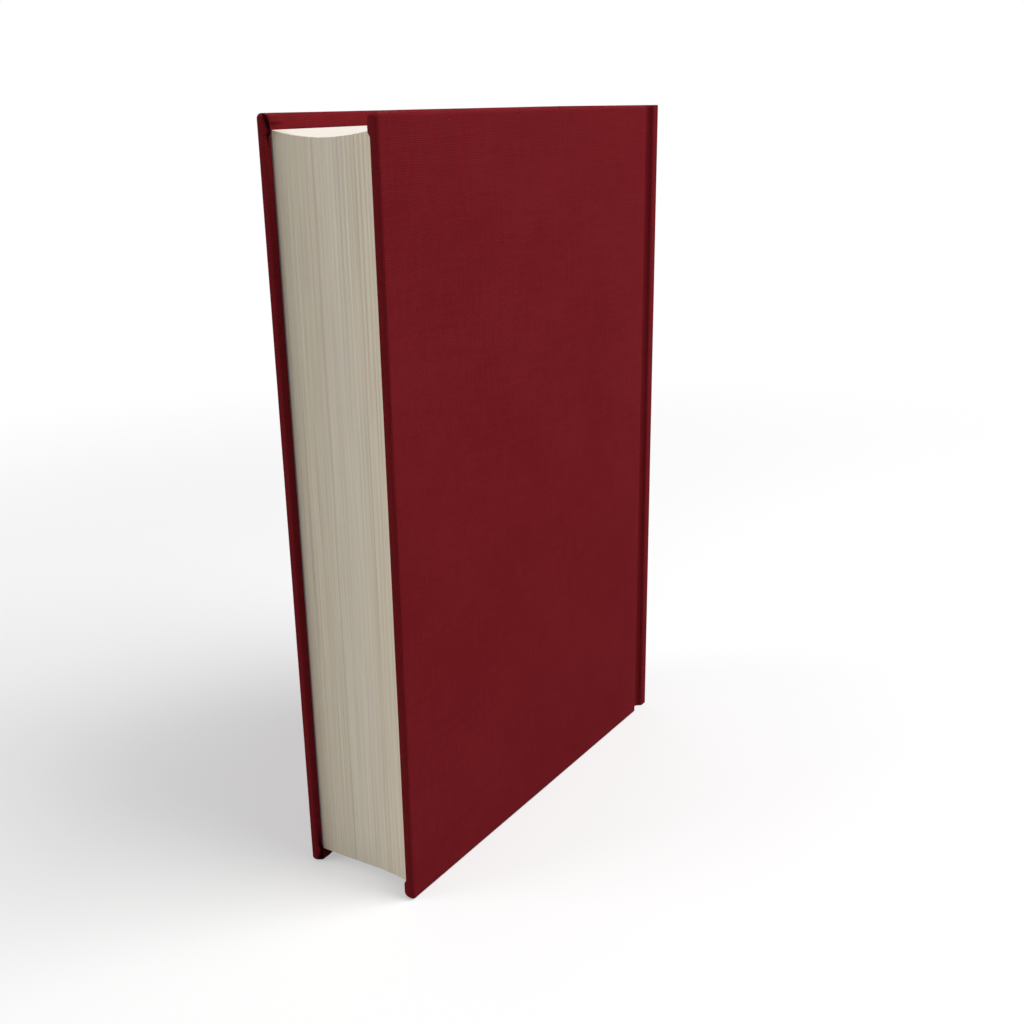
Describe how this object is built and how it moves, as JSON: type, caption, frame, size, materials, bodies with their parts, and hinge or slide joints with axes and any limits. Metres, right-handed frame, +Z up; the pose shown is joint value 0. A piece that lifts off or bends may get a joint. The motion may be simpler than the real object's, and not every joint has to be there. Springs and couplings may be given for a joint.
{
  "type": "hardback book",
  "caption": "Upright cloth-covered hardback book with rounded spine, French joints and hollow fore-edge; both covers open on their hinges.",
  "frame": {"origin": "bottom centre of the closed book's box, on the surface that it stands on", "axes": "+Z up from tail to head; X through the thickness, front cover on -X and back cover on +X; fore-edge faces -Y, spine faces +Y"},
  "size_m": [0.0432, 0.1648, 0.24],
  "materials": {
    "leaves": "matte",
    "endpaper": "matte",
    "gauze": "matte",
    "lining_paper": "matte",
    "band_silk": "satin",
    "inlay_card": "matte",
    "greyboard": "matte",
    "book_cloth": "matte"
  },
  "bodies": {
    "book_block": {"text_block": "leaves", "front_flyleaf": "endpaper", "back_flyleaf": "endpaper", "spine_mull": "gauze", "spine_lining": "lining_paper", "head_band": "band_silk", "tail_band": "band_silk", "spine_inlay": "inlay_card", "spine_cloth": "book_cloth"},
    "front_cover": {"front_board": "greyboard", "front_cloth": "book_cloth", "front_pastedown": "endpaper", "front_mull_flange": "gauze"},
    "back_cover": {"back_board": "greyboard", "back_cloth": "book_cloth", "back_pastedown": "endpaper", "back_mull_flange": "gauze"}
  },
  "joints": [
    {"name": "front_cover_hinge", "type": "hinge", "parent": "book_block", "child": "front_cover", "pos_m": [-0.02045, 0.07567, 0.12], "axis": [0, 0, -1], "range_deg": [0, 180]},
    {"name": "back_cover_hinge", "type": "hinge", "parent": "book_block", "child": "back_cover", "pos_m": [0.02045, 0.07567, 0.12], "axis": [0, 0, 1], "range_deg": [0, 180]}
  ]
}
